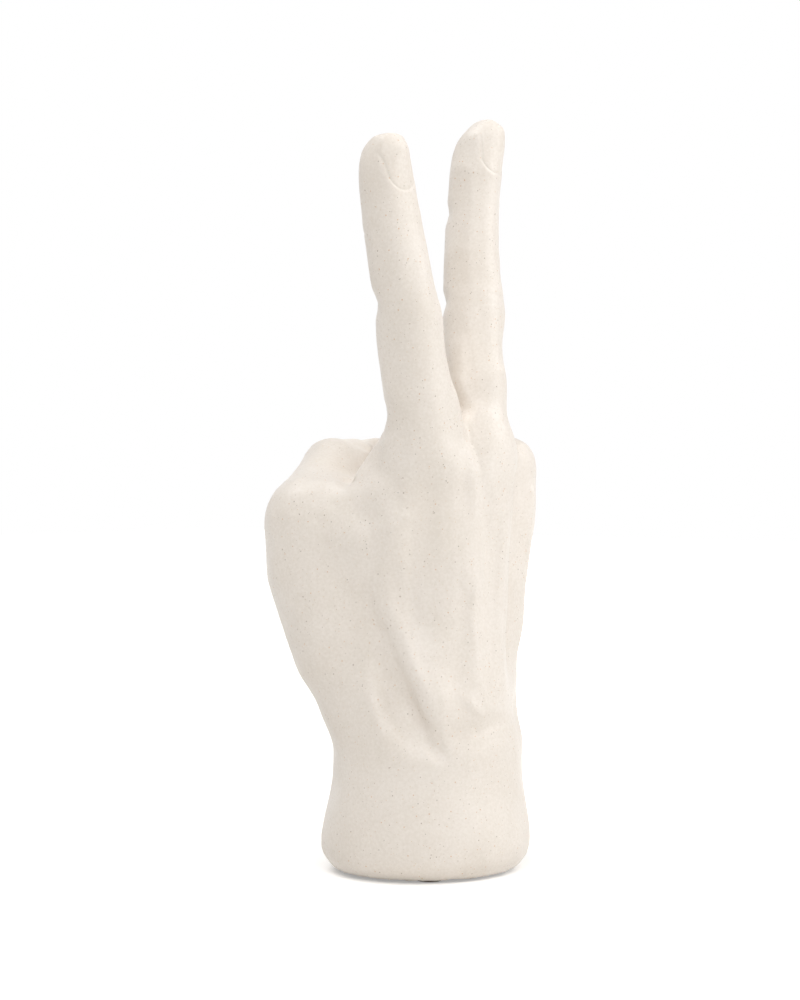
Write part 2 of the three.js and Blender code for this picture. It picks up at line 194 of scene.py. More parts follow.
def roundedCasting(material):
    bm = bmesh.new()
    bm.from_mesh(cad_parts["hand_casting"].data)
    bmesh.ops.remove_doubles(bm, verts=bm.verts, dist=handSkin["weld"] * mm)
    bmesh.ops.join_triangles(bm, faces=bm.faces, angle_face_threshold=math.radians(handSkin["joinAngle"]),
                             angle_shape_threshold=math.radians(handSkin["joinShape"]))
    crease = bm.edges.layers.float.new("crease_edge")
    top = castingLow.z + handSkin["footZone"] * mm
    for edge in bm.edges:
        low = max(vert.co.z for vert in edge.verts) < top
        if low and edge.calc_face_angle(0) > math.radians(handSkin["sharpAngle"]):
            edge[crease] = 1.0
    print("casting cage:", len(bm.faces), "faces,", sum(len(f.verts) == 4 for f in bm.faces), "quads")
    piece = newPiece("handSkin", bm, material)
    rounding = piece.modifiers.new("rounding", "SUBSURF")
    rounding.levels = rounding.render_levels = handSkin["levels"]
    wanted = readPoints(piece.data)
    held = wanted.copy()
    for turn in range(handSkin["fitTurns"]):
        rounded = piece.evaluated_get(bpy.context.evaluated_depsgraph_get()).data
        held += wanted - readPoints(rounded)[:len(wanted)]
        writePoints(piece.data, held)
    rounded = piece.evaluated_get(bpy.context.evaluated_depsgraph_get())
    mesh = bpy.data.meshes.new_from_object(rounded)
    piece.modifiers.clear()
    piece.data = mesh
    print("rounded casting:", len(mesh.vertices), "points,", len(mesh.polygons), "faces")
    return piece


def edgePairs(mesh):
    flat = np.empty(len(mesh.edges) * 2, dtype=np.int64)
    mesh.edges.foreach_get("vertices", flat)
    return flat.reshape(-1, 2)


def averaged(points, pairs, turns, step=0.5):
    count = np.bincount(pairs.ravel(), minlength=len(points))[:, None]
    here, there = np.concatenate([pairs, pairs[:, ::-1]]).T
    for turn in range(turns):
        total = np.stack([np.bincount(here, points[there, axis], len(points)) for axis in range(3)], axis=1)
        points = points + step * (total / count - points)
    return points


def smoothed(points, pairs, turns):
    once = averaged(points, pairs, turns)
    return once + averaged(points - once, pairs, turns)   # gives back what plain averaging shrinks


def ramp(value, start, end):
    share = np.clip((value - start) / (end - start), 0, 1)
    return share * share * (3 - 2 * share)


def toHand(points):
    return (points - np.array(axisFoot)) / mm


def fromHand(points):
    return points * mm + np.array(axisFoot)


# First pass over the clay: the whole skin is drawn smooth, less so round the folded fingers
smoothing = {
    "turns": 40,
    "foldTurns": 8,
    "crispBelow": 6,           # mm above the ground face, where the foot's edge is left alone
    "foldLow": (94, 104),      # mm, heights over which the folds begin
    "foldHigh": (134, 142),    # and end
    "foldFront": (-12, -2),    # mm, how far in front of the wrist's axis
}


def smoothHand(mesh):
    points = toHand(readPoints(mesh))
    pairs = edgePairs(mesh)
    y, z = points.T[1:]
    fold = ramp(z, *smoothing["foldLow"]) * (1 - ramp(z, *smoothing["foldHigh"]))
    fold = fold * (1 - ramp(y, *smoothing["foldFront"]))
    loose = smoothed(points, pairs, smoothing["turns"])
    tight = smoothed(points, pairs, smoothing["foldTurns"])
    blend = loose + (tight - loose) * fold[:, None]
    keep = 1 - ramp(z, smoothing["crispBelow"], smoothing["crispBelow"] * 2)
    points = blend + (points - blend) * keep[:, None]
    writePoints(mesh, fromHand(points))


# How a stroke or a smoothing thumb meets the clay
touch = {
    "spacing": 0.8,      # mm between the points of a stroke
    "taper": 0.25,       # of a stroke's length, over which each end fades
    "facing": 0.3,       # cosine to the stroke's own facing, below which the skin is another side's
    "sharpFall": 1.5,    # power by which a sharp stroke falls off
    "softFull": 0.6,     # of the reach that is smoothed in full
    "softHalo": 1.6,     # of the reach that the smoothing takes in
}


class Clay:
    def __init__(self, mesh):
        self.mesh = mesh
        self.points = toHand(readPoints(mesh))
        self.settle()

    def settle(self):
        writePoints(self.mesh, fromHand(self.points))
        self.normals = readPoints(self.mesh, "normal")
        self.pairs = edgePairs(self.mesh)
        faces = [list(polygon.vertices) for polygon in self.mesh.polygons]
        self.tree = BVHTree.FromPolygons(self.points.tolist(), faces)

    def line(self, path):
        corners = np.array(path, float)
        corners = np.vstack([2 * corners[0] - corners[1], corners, 2 * corners[-1] - corners[-2]])
        drawn = []
        for p, q, r, t in zip(corners, corners[1:], corners[2:], corners[3:]):
            steps = max(2, int(np.linalg.norm(r - q) / touch["spacing"]))
            for u in np.arange(steps) / steps:    # a smooth curve through the corners
                bend = 2 * q + (r - p) * u + (2 * p - 5 * q + 4 * r - t) * u ** 2
                bend = bend + (3 * q - p - 3 * r + t) * u ** 3
                drawn.append(bend / 2)
        drawn.append(corners[-2])
        hits = [self.tree.find_nearest(point)[:2] for point in drawn]
        return np.array([hit[0] for hit in hits]), np.array([hit[1] for hit in hits])

    def near(self, line, width):
        inside = (self.points > line.min(0) - width) & (self.points < line.max(0) + width)
        chosen = np.flatnonzero(inside.all(1))
        gaps = np.linalg.norm(self.points[chosen, None] - line[None], axis=2)
        return chosen, gaps.min(1), gaps.argmin(1)

    def stroke(self, path, width, height, sharp=False, way=None):
        line, facing = self.line(path)
        chosen, gap, spot = self.near(line, width)
        share = spot / (len(line) - 1)
        fade = ramp(share, 0, touch["taper"]) * (1 - ramp(share, 1 - touch["taper"], 1))
        same = (self.normals[chosen] * facing[spot]).sum(1) > touch["facing"]
        inward = np.clip(1 - gap / width, 0, None)
        fall = inward ** touch["sharpFall"] if sharp else (inward * (2 - inward)) ** 2
        moves = self.normals[chosen] if way is None else np.array(way, float)
        self.points[chosen] += moves * (height * fall * fade * same)[:, None]

    def pull(self, centre, reach, move):
        gap = np.linalg.norm(self.points - np.array(centre, float), axis=1) / reach
        fall = np.clip(1 - gap ** 2, 0, None) ** 2
        self.points += fall[:, None] * np.array(move, float)

    def soften(self, centre, reach, turns):
        gap = np.linalg.norm(self.points - np.array(centre, float), axis=1) / reach
        inside = gap < touch["softHalo"]
        order = np.cumsum(inside) - 1
        pairs = order[self.pairs[inside[self.pairs].all(1)]]
        points = self.points[inside]
        fall = 1 - ramp(gap[inside], touch["softFull"], 1)
        self.points[inside] += (smoothed(points, pairs, turns) - points) * fall[:, None]


# The joints of each finger in millimetres, from its root to the middle of its tip, with the flesh round them
limbs = {
    "index": {"joints": [(11.5, 8.6, 129), (20.3, 10.2, 174.1), (25.6, 8, 201.5), (29.8, 8, 223.1)],
              "radii": (9.8, 8.9, 7.7, 7.2), "back": (0, 1, 0)},
    "middle": {"joints": [(-12, 13.6, 131), (-18.6, 4.6, 177.7), (-23, 1.6, 209.2), (-26.4, 1.2, 233.6)],
               "radii": (9.4, 8.7, 7.4, 7.2), "back": (0, 1, 0.02)},
    "ring": {"joints": [(-31, 7.5, 127), (-25.8, -29.6, 133.6), (-25.9, -28.8, 109.6), (-28.3, -11.6, 99.6)],
             "radii": (10.2, 9.2, 8.4, 7.6), "back": (0.07, -0.5, -0.87)},
    "little": {"joints": [(-46, -5, 118), (-38.4, -35.4, 124.7), (-38.6, -34.7, 104.7), (-42.2, -20.1, 96.7)],
               "radii": (9, 8.2, 7.5, 6.8), "back": (0.11, -0.46, -0.88)},
    "thumb": {"joints": [(24.5, -29, 110), (-3, -42, 126.6), (-13.6, -42.1, 127.2), (-30.5, -41.4, 126)],
              "radii": (11.5, 9.8, 9.1, 9.2), "back": (0, -0.97, 0.24)},
}

# Broad planes of the back of the hand, which make it one rounded form from the thumb side to the knuckles,
# and the flank of the middle finger above the web
planes = [
    {"path": [(19.3, 17.7, 137), (18.5, 17.2, 123), (18, 16.8, 104), (18, 16.8, 85), (18.4, 17.1, 66)],
     "width": 9, "height": -2.1},
    {"path": [(2.5, 19.5, 138), (2.6, 19.6, 128), (2.7, 19.6, 117), (3, 19.9, 104), (4.6, 21.2, 91),
              (5.5, 22, 82)],
     "width": 10.5, "height": 2.9},
    {"path": [(24.6, 6.2, 120), (24.2, 6, 104), (23.8, 5.8, 95), (23.3, 5.4, 87), (23.6, 6.9, 78),
              (23.5, 9, 70)],
     "width": 7, "height": 2.3},
    {"path": [(31.5, -7.5, 106), (32.6, -6.5, 91), (33.4, -5.8, 78), (31.9, -4.9, 67), (30, -4, 54)],
     "width": 12, "height": -1.6},
    {"path": [(-5.8, 4.2, 172), (-4.4, 6.4, 162), (-3.2, 8.4, 153), (-2.4, 10, 144)],
     "width": 6, "height": 1.6},
]
planeWay = (0.77, 0.64, 0)    # the way that the planes are raised, out of the thumb side of the back

# Relief of the back, the wrist and the fingers: raised by a height above nought, pressed in by one below
relief = [
    {"path": [(24, 1, 140), (25, 2.5, 128), (25.5, 4, 114)], "width": 9, "height": 0.9},
    {"path": [(25.5, 3, 106), (25.2, 1.5, 92), (24.6, 2.5, 85), (24, 6, 75)], "width": 6, "height": 0.7},
    {"path": [(-3, 19.5, 139), (-4.5, 22, 130), (-4, 22.5, 119), (-3, 22.8, 106)],
     "width": 6, "height": 0.5},
    {"path": [(34, 12.5, 212), (33.2, 13.1, 200), (30.5, 13.9, 185), (27.5, 14.5, 172), (25.2, 14.9, 158),
              (24, 15.5, 145)],
     "width": 6, "height": 0.5},
    {"path": [(24.2, 3.4, 86), (23.3, 10.7, 69), (22.1, 17.8, 55.5), (17.5, 22, 39)],
     "width": 4.5, "height": 0.9},
    {"path": [(26.8, 0.5, 75), (27.3, 4.8, 66), (25.5, 11.3, 53), (21.5, 18.3, 39)],
     "width": 7, "height": -1.0},
    {"path": [(25, 8.5, 59), (22.7, 15, 49), (19.2, 20.8, 39), (16.5, 23.2, 33)],
     "width": 4, "height": -0.9},
    {"path": [(-19.5, 21.5, 128), (-20.5, 20.5, 116), (-18.5, 21.5, 98), (-16, 22.3, 80), (-12.5, 24, 64),
              (-9, 25.6, 56)],
     "width": 2.5, "height": -0.7},
    {"path": [(-14.5, 23.8, 128), (-15, 23.2, 116), (-13, 23.5, 98), (-10.5, 24, 80), (-7.5, 25.2, 64)],
     "width": 2.2, "height": 0.4},
    {"path": [(28.1, 0.5, 64), (29.3, 4.9, 52), (29.3, 10.5, 40)], "width": 5, "height": 0.4},
    {"path": [(5.5, 17.5, 138), (3.1, 19.5, 123), (1.7, 20.1, 110), (2.8, 21.7, 95), (4.8, 24.1, 73),
              (7.7, 27.2, 53)],
     "width": 3.6, "height": 0.45},
    {"path": [(10, 17, 163), (8, 17.5, 151), (5.5, 18.2, 141), (4, 19, 132), (3.4, 19.5, 122)],
     "width": 4, "height": 0.6},
    {"path": [(2, 14.5, 147), (0.6, 17, 139), (0.4, 18.8, 131), (0.8, 19.8, 121)],
     "width": 1.6, "height": -0.5},
    {"path": [(10.5, 18.5, 122), (9.5, 19.5, 105), (10.5, 20.5, 88), (11, 22, 68)],
     "width": 6, "height": -0.25},
    {"path": [(-11.5, 24.2, 123), (-8.8, 24.2, 98), (-4.8, 25.3, 73), (0.9, 27.4, 54.5)],
     "width": 3.2, "height": 0.5},
    {"path": [(17.5, 22.3, 43), (5.8, 26.5, 46), (-10.7, 25.6, 48)], "width": 2.6, "height": -0.4},
    {"path": [(18, 22.5, 35), (5, 27, 38), (-11, 26, 40)], "width": 5, "height": 0.3},
    {"path": [(6.5, 25.3, 60), (6.8, 26.2, 55.5), (6, 27, 52)], "width": 3.6, "height": -0.45},
    {"path": [(14.5, 23.1, 57.7), (9.2, 25.8, 53.5), (6, 27.3, 50.4), (1.8, 27.6, 51.8), (-4.5, 27, 54)],
     "width": 1.9, "height": 0.35},
    {"path": [(22.5, 5, 132), (24, 4.5, 118), (25, 3.5, 105), (25, 2.5, 92), (24.2, 3.4, 80)],
     "width": 14, "height": 0.9},
    {"path": [(-30.3, 6.9, 232), (-27.8, 7.3, 210), (-26.1, 9.1, 195), (-25, 10.8, 184)],
     "width": 8, "height": -0.65},
    {"path": [(-23.6, 12, 176), (-21.9, 14.9, 160), (-20.3, 17.6, 147), (-19.3, 20, 136)],
     "width": 8, "height": -0.95},
    {"path": [(-46.5, -30, 111), (-45.5, -24, 109), (-46.5, -18, 108.5), (-50, -12, 107),
              (-51.5, -6, 104.5)],
     "width": 3, "height": -1.3},
    {"path": [(-46, -18, 108), (-49, -13.5, 103), (-49, -13, 97), (-46.8, -16.5, 91.5), (-43.5, -21, 88.5)],
     "width": 2.6, "height": -1.1},
]


def fromLimb(points, limb):
    best = np.full(len(points), np.inf)
    joints = np.array(limb["joints"], float)
    for start, end, thick, thin in zip(joints, joints[1:], limb["radii"], limb["radii"][1:]):
        along = end - start
        share = np.clip((points - start) @ along / (along @ along), 0, 1)
        gap = np.linalg.norm(points - start - share[:, None] * along, axis=1)
        best = np.minimum(best, gap - thick - (thin - thick) * share)
    return best


# Folds where two limbs lie against each other, pressed in where a point is as far from one as from the other
folds = [
    {"limbs": ("thumb", "ring"), "width": 2.4, "depth": 2.2},
    {"limbs": ("thumb", "little"), "width": 2.4, "depth": 2.4},
    {"limbs": ("ring", "little"), "width": 2.4, "depth": 2.2},
]
foldEnd = (2.0, 5.0)    # mm from the farther limb, over which a fold runs out


def pressFolds(clay):
    for fold in folds:
        first, second = (fromLimb(clay.points, limbs[name]) for name in fold["limbs"])
        line = np.exp(-((first - second) / fold["width"]) ** 2)
        close = 1 - ramp(np.maximum(first, second), *foldEnd)
        clay.points -= clay.normals * (fold["depth"] * line * close)[:, None]
    clay.settle()


# Pushes of the thumb that true up the outline: where, how far they reach and which way, in millimetres
pushes = [
    {"at": (27, 13, 229), "reach": 9, "by": (-1.0, 1.1, 0.5)},         # index tip, towards the nail
    {"at": (33, 3, 228), "reach": 8, "by": (-0.6, 0.3, -0.9)},
    {"at": (-28, 4, 239), "reach": 10, "by": (-0.7, 0.9, -0.4)},       # middle tip, towards the nail
    {"at": (-29.6, 6.4, 236), "reach": 9, "by": (-0.8, 0.9, 1.8)},
    {"at": (-22, -3, 237), "reach": 9, "by": (-0.6, 0.6, -0.9)},
    {"at": (27.5, 15.5, 212), "reach": 10, "by": (0.9, -1.2, 0)},
    {"at": (17.5, 18, 181), "reach": 10, "by": (0.7, -0.9, 0)},
    {"at": (20, 0, 149), "reach": 12, "by": (-0.6, 0.75, 0)},          # thumb side of the index finger
    {"at": (24, 2, 166), "reach": 9, "by": (0.4, -0.5, 0)},
    {"at": (5, 13, 144), "reach": 13, "by": (-2.0, 2.4, 0)},           # index root, flaring into the knuckle
    {"at": (-5, 12, 138), "reach": 15, "by": (0.4, 1.0, 3.4)},
    {"at": (-3, 22, 121), "reach": 12, "by": (1.3, 1.1, 0)},           # below the web of the raised fingers
    {"at": (8, -42, 131), "reach": 15, "by": (-0.8, 0.9, 0)},          # thumb
    {"at": (-8, -38, 136), "reach": 17, "by": (0, 0, -0.9)},
    {"at": (20, -38, 121), "reach": 12, "by": (-0.4, 0.5, 0)},
    {"at": (30, -33, 110), "reach": 12, "by": (-0.8, 1.0, 0)},
    {"at": (32, -28, 96), "reach": 10, "by": (0.7, -0.9, 0)},
    {"at": (30, -14, 62), "reach": 12, "by": (-0.9, 1.1, 0)},          # wrist, thumb side
    {"at": (26, -18, 40), "reach": 10, "by": (-0.4, 0.5, 0)},
    {"at": (-22, 21, 50), "reach": 10, "by": (0.7, -0.9, 0)},          # wrist, back
    {"at": (-36, 12, 116), "reach": 10, "by": (0.3, -0.4, 0)},         # little knuckle
    {"at": (33, 9, 200), "reach": 10, "by": (0.6, 0.5, 0)},            # thumb side of the index finger
    {"at": (35, 9, 213), "reach": 8, "by": (0.5, 0.4, 0)},
    {"at": (25.7, 10, 160), "reach": 10, "by": (-0.6, -0.5, 0)},
    {"at": (16, -13, 127), "reach": 8, "by": (-2.2, -1.6, -3.4)},      # pocket between thumb and index root
    {"at": (18.5, -5, 134.5), "reach": 7, "by": (0.9, -1.1, 0)},
    {"at": (21, -7, 129), "reach": 8, "by": (1.3, -1.5, 0)},
    {"at": (23, -13, 124), "reach": 6, "by": (0, 0, -2.0)},
    {"at": (19, -17, 123.5), "reach": 5.5, "by": (-0.5, 0, -1.8)},
    {"at": (24.5, -15.5, 121.8), "reach": 4.5, "by": (0.3, 0.2, 0.6)},
    {"at": (-6, -28, 128), "reach": 10, "by": (0, 0.8, 2.2)},
    {"at": (25.2, 0.5, 118), "reach": 9, "by": (1.6, 1.3, 0)},         # fold of the thumb's root
    {"at": (-17.5, -34, 138.5), "reach": 9, "by": (-1.4, 1.2, -0.8)},  # ring knuckle, behind the index root
    {"at": (-20, -38.5, 137), "reach": 8, "by": (0, 0, -0.9)},
    {"at": (-24.6, 12.2, 177), "reach": 6, "by": (-0.4, 0.45, 0)},     # middle joint of the middle finger
    {"at": (-25, 10.8, 188), "reach": 6, "by": (0.35, -0.4, 0)},
]

# The edge of the foot rolls a little below its ground face, so that the pads hardly show from the side
footEdge = {
    "middle": (-0.6, -0.5),    # mm from the wrist's axis
    "half": (34.6, 32.35),     # mm, half width and half depth
    "share": (0.8, 0.85),      # shares of these where the edge begins to drop and has dropped
    "end": (0.88, 0.97),       # and where it comes back
    "drop": 0.65,              # mm
    "fade": 8,                 # mm above the ground face, where the drop ends
}


def rollFoot(clay):
    share = np.linalg.norm((clay.points[:, :2] - footEdge["middle"]) / footEdge["half"], axis=1)
    low = 1 - ramp(clay.points[:, 2], 0, footEdge["fade"])
    roll = ramp(share, *footEdge["share"]) * (1 - ramp(share, *footEdge["end"]))
    clay.points[:, 2] -= footEdge["drop"] * roll * low


# The raised fingers are drawn out even between the thumb and a finger, as a modeller strokes the clay
drawing = {
    "index": {"low": (152, 164), "high": (208, 216)},    # mm, heights over which the drawing begins and ends
    "middle": {"low": (158, 170), "high": (212, 222)},
}
drawingReach = {
    "long": 6.0,       # mm along the finger, what is evened out
    "short": 1.5,      # mm, what is left as it is
    "turn": 15,        # degrees round the finger
    "every": 5,        # one point in so many is sampled
    "flesh": 4,        # mm from the limb's own form, past which the skin isn't its own
}
tipRounding = {"reach": 15, "turns": 80}    # mm round the middle of a tip, and turns of smoothing


def skinRound(skin, along, turn, reach):
    sample = slice(None, None, drawingReach["every"])
    gap = (along[:, None] - along[None, sample]) / reach
    swing = np.pi - np.abs(np.pi - np.abs(turn[:, None] - turn[None, sample]))
    weight = np.exp(-(gap ** 2 + (swing / math.radians(drawingReach["turn"])) ** 2) / 2)
    return weight @ skin[sample] / weight.sum(1)


def drawOut(clay, name):
    limb = limbs[name]
    other = limbs["middle" if name == "index" else "index"]
    joints = np.array(limb["joints"], float)
    axis = joints[-1] - joints[0]
    axis /= np.linalg.norm(axis)
    low, high = drawing[name]["low"], drawing[name]["high"]
    z = clay.points[:, 2]
    margin = 2 * drawingReach["long"]
    apart = fromLimb(clay.points, limb)
    mine = (apart < drawingReach["flesh"]) & (apart < fromLimb(clay.points, other))
    chosen = np.flatnonzero(mine & (z > low[0] - margin) & (z < high[1] + margin))
    points = clay.points[chosen]
    heights = joints[:, 2]
    bones = np.stack([np.interp(points[:, 2], heights, joints[:, side]) for side in range(3)], axis=1)
    spoke = points - bones
    spoke -= (spoke @ axis)[:, None] * axis
    skin = np.linalg.norm(spoke, axis=1)
    turn = np.arctan2(spoke[:, 1], spoke[:, 0])
    long, short = (skinRound(skin, points[:, 2], turn, drawingReach[key]) for key in ("long", "short"))
    fade = ramp(points[:, 2], *low) * (1 - ramp(points[:, 2], *high))
    clay.points[chosen] += spoke / skin[:, None] * ((long - short) * fade)[:, None]


# Nails, along each last bone from its root behind the tip's middle to its free edge before it
nails = {
    "index": {"root": -11.1, "edge": 6.4, "halfWidth": 6.3, "rootRound": 5.5, "edgeRound": 5.0},
    "middle": {"root": -11.3, "edge": 6.6, "halfWidth": 5.7, "rootRound": 4.6, "edgeRound": 4.8},
    "little": {"root": -6.8, "edge": 5.6, "halfWidth": 4.7, "rootRound": 3.8, "edgeRound": 3.8},
    "thumb": {"root": -9.5, "edge": 7.2, "halfWidth": 6.8, "rootRound": 5.2, "edgeRound": 5.4},
}
nailForm = {
    "bed": 4.0,               # mm from the root to where the plate takes its level from the skin
    "bedReach": 2.0,          # mm
    "groove": 0.26,           # mm deep round the plate
    "grooveWidth": 0.36,      # mm
    "fold": 0.06,             # mm, height of the skin beside the groove
    "foldWidth": 1.0,         # mm
    "arch": 1.06,             # times the finger's radius, the plate's own across it
    "bend": 26,               # mm, radius of the plate along the finger
    "lift": 0.6,              # mm, the most that the free edge stands off the flesh
    "sink": 0.1,              # mm, the most that the plate is pressed in
    "rim": 1.0,               # mm over which the plate meets the skin
    "around": 5,              # mm outside the plate, where the nail's work ends
    "skinEnd": (9.0, 4.0),    # mm before the free edge where the groove runs out
    "deepest": 1.5,           # times the finger's radius from its bone, past which the skin is another limb's
    "facing": -0.2,           # cosine to the nail's own facing, below which the skin is another side's
}


def nailFrame(name):
    joints = np.array(limbs[name]["joints"], float)
    along = joints[-1] - joints[-2]
    along /= np.linalg.norm(along)
    back = np.array(limbs[name]["back"], float)
    back -= (back @ along) * along
    back /= np.linalg.norm(back)
    return joints[-1], along, back, np.cross(along, back)


def nailPlaces(points, name):
    tip, along, back, across = nailFrame(name)
    nail = nails[name]
    offset = points - tip
    s, t, height = offset @ along, offset @ across, offset @ back
    middle, half = (nail["root"] + nail["edge"]) / 2, (nail["edge"] - nail["root"]) / 2
    corner = np.where(s < middle, nail["rootRound"], nail["edgeRound"])
    q = np.abs(t) - nail["halfWidth"] + corner
    r = np.abs(s - middle) - half + corner
    outside = np.hypot(np.maximum(q, 0), np.maximum(r, 0)) + np.minimum(np.maximum(q, r), 0) - corner
    return s, t, height, outside


def nailSide(clay, name, height):
    deepest = nailForm["deepest"] * limbs[name]["radii"][-1]
    facing = clay.normals @ nailFrame(name)[2] > nailForm["facing"]
    return (height > 0) & (height < deepest) & facing


def nailReach(clay, name, reach):
    height, outside = nailPlaces(clay.points, name)[2:]
    return (np.abs(outside) < reach) & nailSide(clay, name, height)


def pressNail(clay, name):
    nail, form = nails[name], nailForm
    s, t, height, outside = nailPlaces(clay.points, name)
    back = nailFrame(name)[2]
    top = nailSide(clay, name, height) & (outside < form["around"])
    start = nail["root"] + form["bed"]
    bed = top & (np.abs(t) < form["bedReach"]) & (np.abs(s - start) < form["bedReach"])
    level = height[bed].max()
    arch = limbs[name]["radii"][-1] * form["arch"]
    across = arch - np.sqrt(np.maximum(arch ** 2 - t ** 2, 0))
    plate = level - across - np.maximum(s - start, 0) ** 2 / (2 * form["bend"])
    rise = form["lift"] * np.tanh(np.maximum(plate - height, -form["sink"]) / form["lift"])
    skinEnd = 1 - ramp(s, nail["edge"] - form["skinEnd"][0], nail["edge"] - form["skinEnd"][1])
    groove = form["groove"] * np.exp(-(outside / form["grooveWidth"]) ** 2) * skinEnd
    beside = np.exp(-((outside - form["foldWidth"]) / form["foldWidth"]) ** 2) * (outside > 0)
    fold = form["fold"] * beside * skinEnd
    clay.points += back * (top * rise * ramp(-outside, 0, form["rim"]))[:, None]
    clay.points += clay.normals * (top * (fold - groove))[:, None]


# Notches across the palm side of a finger, where it bends: on which bone and how far along it
notches = [
    {"limb": "index", "bone": 1, "share": 0.2, "side": -1, "width": 5.5, "depth": 1.1, "turn": 85},
    {"limb": "index", "bone": 0, "share": 0.36, "side": -1, "width": 5, "depth": 0.7, "turn": 70},
    {"limb": "middle", "bone": 1, "share": 0.08, "side": -1, "width": 5, "depth": 1.1, "turn": 85},
    {"limb": "middle", "bone": 1, "share": 1.0, "side": -1, "width": 5, "depth": 0.9, "turn": 85},
    {"limb": "middle", "bone": 0, "share": 0.34, "side": -1, "width": 5, "depth": 0.7, "turn": 70},
]

# Fine lines across a finger, on its palm (side -1) or its back (side 1)
wrinkles = [
    {"limb": "index", "bone": 1, "share": 0.2, "side": -1, "width": 1.1, "depth": 0.3, "turn": 70},
    {"limb": "index", "bone": 1, "share": 0.1, "side": -1, "width": 0.9, "depth": 0.22, "turn": 60},
    {"limb": "index", "bone": 1, "share": 0.98, "side": -1, "width": 1.0, "depth": 0.3, "turn": 65},
    {"limb": "index", "bone": 0, "share": 0.36, "side": -1, "width": 1.1, "depth": 0.3, "turn": 60},
    {"limb": "index", "bone": 0, "share": 0.41, "side": -1, "width": 0.9, "depth": 0.2, "turn": 50},
    {"limb": "middle", "bone": 1, "share": 0.08, "side": -1, "width": 1.1, "depth": 0.3, "turn": 70},
    {"limb": "middle", "bone": 0, "share": 0.98, "side": -1, "width": 0.9, "depth": 0.22, "turn": 60},
    {"limb": "middle", "bone": 1, "share": 1.0, "side": -1, "width": 1.0, "depth": 0.3, "turn": 65},
    {"limb": "middle", "bone": 0, "share": 0.34, "side": -1, "width": 1.1, "depth": 0.3, "turn": 60},
    {"limb": "middle", "bone": 0, "share": 0.39, "side": -1, "width": 0.9, "depth": 0.2, "turn": 50},
    {"limb": "index", "bone": 0, "share": 1.01, "side": 1, "width": 0.8, "depth": 0.16, "turn": 40},
    {"limb": "index", "bone": 0, "share": 0.92, "side": 1, "width": 0.8, "depth": 0.14, "turn": 35},
    {"limb": "index", "bone": 1, "share": 0.07, "side": 1, "width": 0.8, "depth": 0.12, "turn": 35},
    {"limb": "index", "bone": 2, "share": 0.02, "side": 1, "width": 0.8, "depth": 0.12, "turn": 35},
    {"limb": "middle", "bone": 1, "share": 0.12, "side": 1, "width": 0.8, "depth": 0.2, "turn": 40},
    {"limb": "middle", "bone": 1, "share": 0.02, "side": 1, "width": 0.8, "depth": 0.12, "turn": 35},
    {"limb": "middle", "bone": 2, "share": 0.1, "side": 1, "width": 0.8, "depth": 0.16, "turn": 35},
    {"limb": "thumb", "bone": 0, "share": 0.94, "side": 1, "width": 0.9, "depth": 0.2, "turn": 45},
    {"limb": "thumb", "bone": 0, "share": 1.0, "side": 1, "width": 0.9, "depth": 0.24, "turn": 50},
    {"limb": "thumb", "bone": 1, "share": 0.2, "side": 1, "width": 0.9, "depth": 0.2, "turn": 45},
]

# Lines of the palm, round the wrist and at the bottom of the pocket beside the thumb
palmLines = [
    {"path": [(12, -30, 108), (7, -27, 96), (4, -28, 80), (5, -30, 66), (8, -30, 57)],
     "width": 2.2, "depth": 0.6},
    {"path": [(-28, -20, 92), (-14, -25, 92), (-2, -26, 96)], "width": 1.8, "depth": 0.45},
    {"path": [(-26, -20, 47), (-10, -28, 44), (8, -29, 44), (25, -18, 47)], "width": 1.6, "depth": 0.5},
    {"path": [(18.5, 21.8, 42), (10, 25.5, 43.5), (0, 27.2, 46), (-9, 26.2, 48.5)],
     "width": 1.6, "depth": 0.35},
    {"path": [(-24, -21, 41), (-9, -28.5, 38.5), (8, -29, 38.5), (23, -19, 41)],
     "width": 1.4, "depth": 0.35},
    {"path": [(24.2, -8.6, 124), (23.3, -10.8, 122.9), (22, -13.6, 122.3), (21.8, -15.2, 122.2),
              (22.5, -17.5, 122.4)],
     "width": 1.4, "depth": 0.9},
]
wrinkleCorners = 7    # points that a line across a finger is drawn through


def wrinklePath(mark):
    limb = limbs[mark["limb"]]
    joints = np.array(limb["joints"], float)
    start, end = joints[mark["bone"]], joints[mark["bone"] + 1]
    along = (end - start) / np.linalg.norm(end - start)
    facing = np.array(limb["back"], float) * mark["side"]
    facing -= (facing @ along) * along
    facing /= np.linalg.norm(facing)
    across = np.cross(along, facing)
    centre = start + (end - start) * mark["share"]
    reach = limb["radii"][mark["bone"]]
    angles = np.radians(np.linspace(-mark["turn"], mark["turn"], wrinkleCorners))
    return [centre + reach * (facing * math.cos(angle) + across * math.sin(angle)) for angle in angles]


# Where the mesh is made finer before the finest marks go in
refining = {
    "fineWidth": 1.5,    # mm, marks wider than this need no finer mesh
    "margin": 0.3,       # mm round a mark
    "nailFine": 1.4,     # mm to either side of a nail's edge
    "nailFinest": 0.7,   # mm
    "fine": ("index", "middle", "thumb", "little"),    # nails whose edges are made finer once
    "finest": ("index", "middle", "thumb"),            # and those that are made finer twice
}


def refined(mesh, chosen):
    bm = bmesh.new()
    bm.from_mesh(mesh)
    edges = [edge for edge in bm.edges if chosen[edge.verts[0].index] and chosen[edge.verts[1].index]]
    bmesh.ops.subdivide_edges(bm, edges=edges, cuts=1, use_grid_fill=True)
    bm.to_mesh(mesh)
    bm.free()


